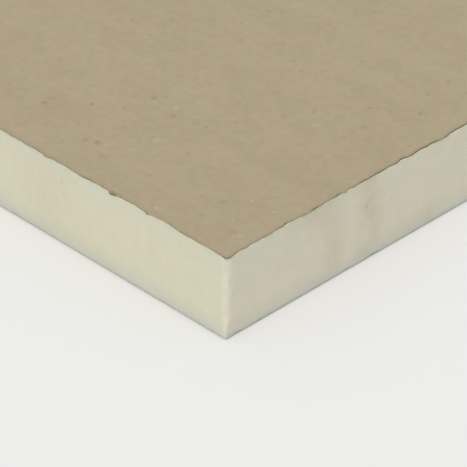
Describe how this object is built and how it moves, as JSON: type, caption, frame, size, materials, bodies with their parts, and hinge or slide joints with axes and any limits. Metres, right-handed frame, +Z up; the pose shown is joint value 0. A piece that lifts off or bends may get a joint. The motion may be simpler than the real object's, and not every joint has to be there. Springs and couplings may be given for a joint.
{
  "type": "polyiso insulation board",
  "caption": "Flat square insulation board for roofs and walls: a rigid cream foam core with a thin tan felt facer bonded over its top and its underside.",
  "frame": {"origin": "centre of the board's underside, on the surface it lies on", "axes": "+Z up through the thickness, from the bottom facer to the top facer; +X along the way the board runs through the laminator, so the faces at -X and +X are the cross-cut ends; +Y across the board's width, between its two trimmed sides"},
  "size_m": [1.2192, 1.2192, 0.0508],
  "materials": {
    "foam": "sawn closed-cell foam, matte cream",
    "felt": "matte tan felt with fine dark and pale flecks"
  },
  "bodies": {
    "root": {"foam_core": "foam", "top_facer": "felt", "bottom_facer": "felt"}
  },
  "joints": []
}
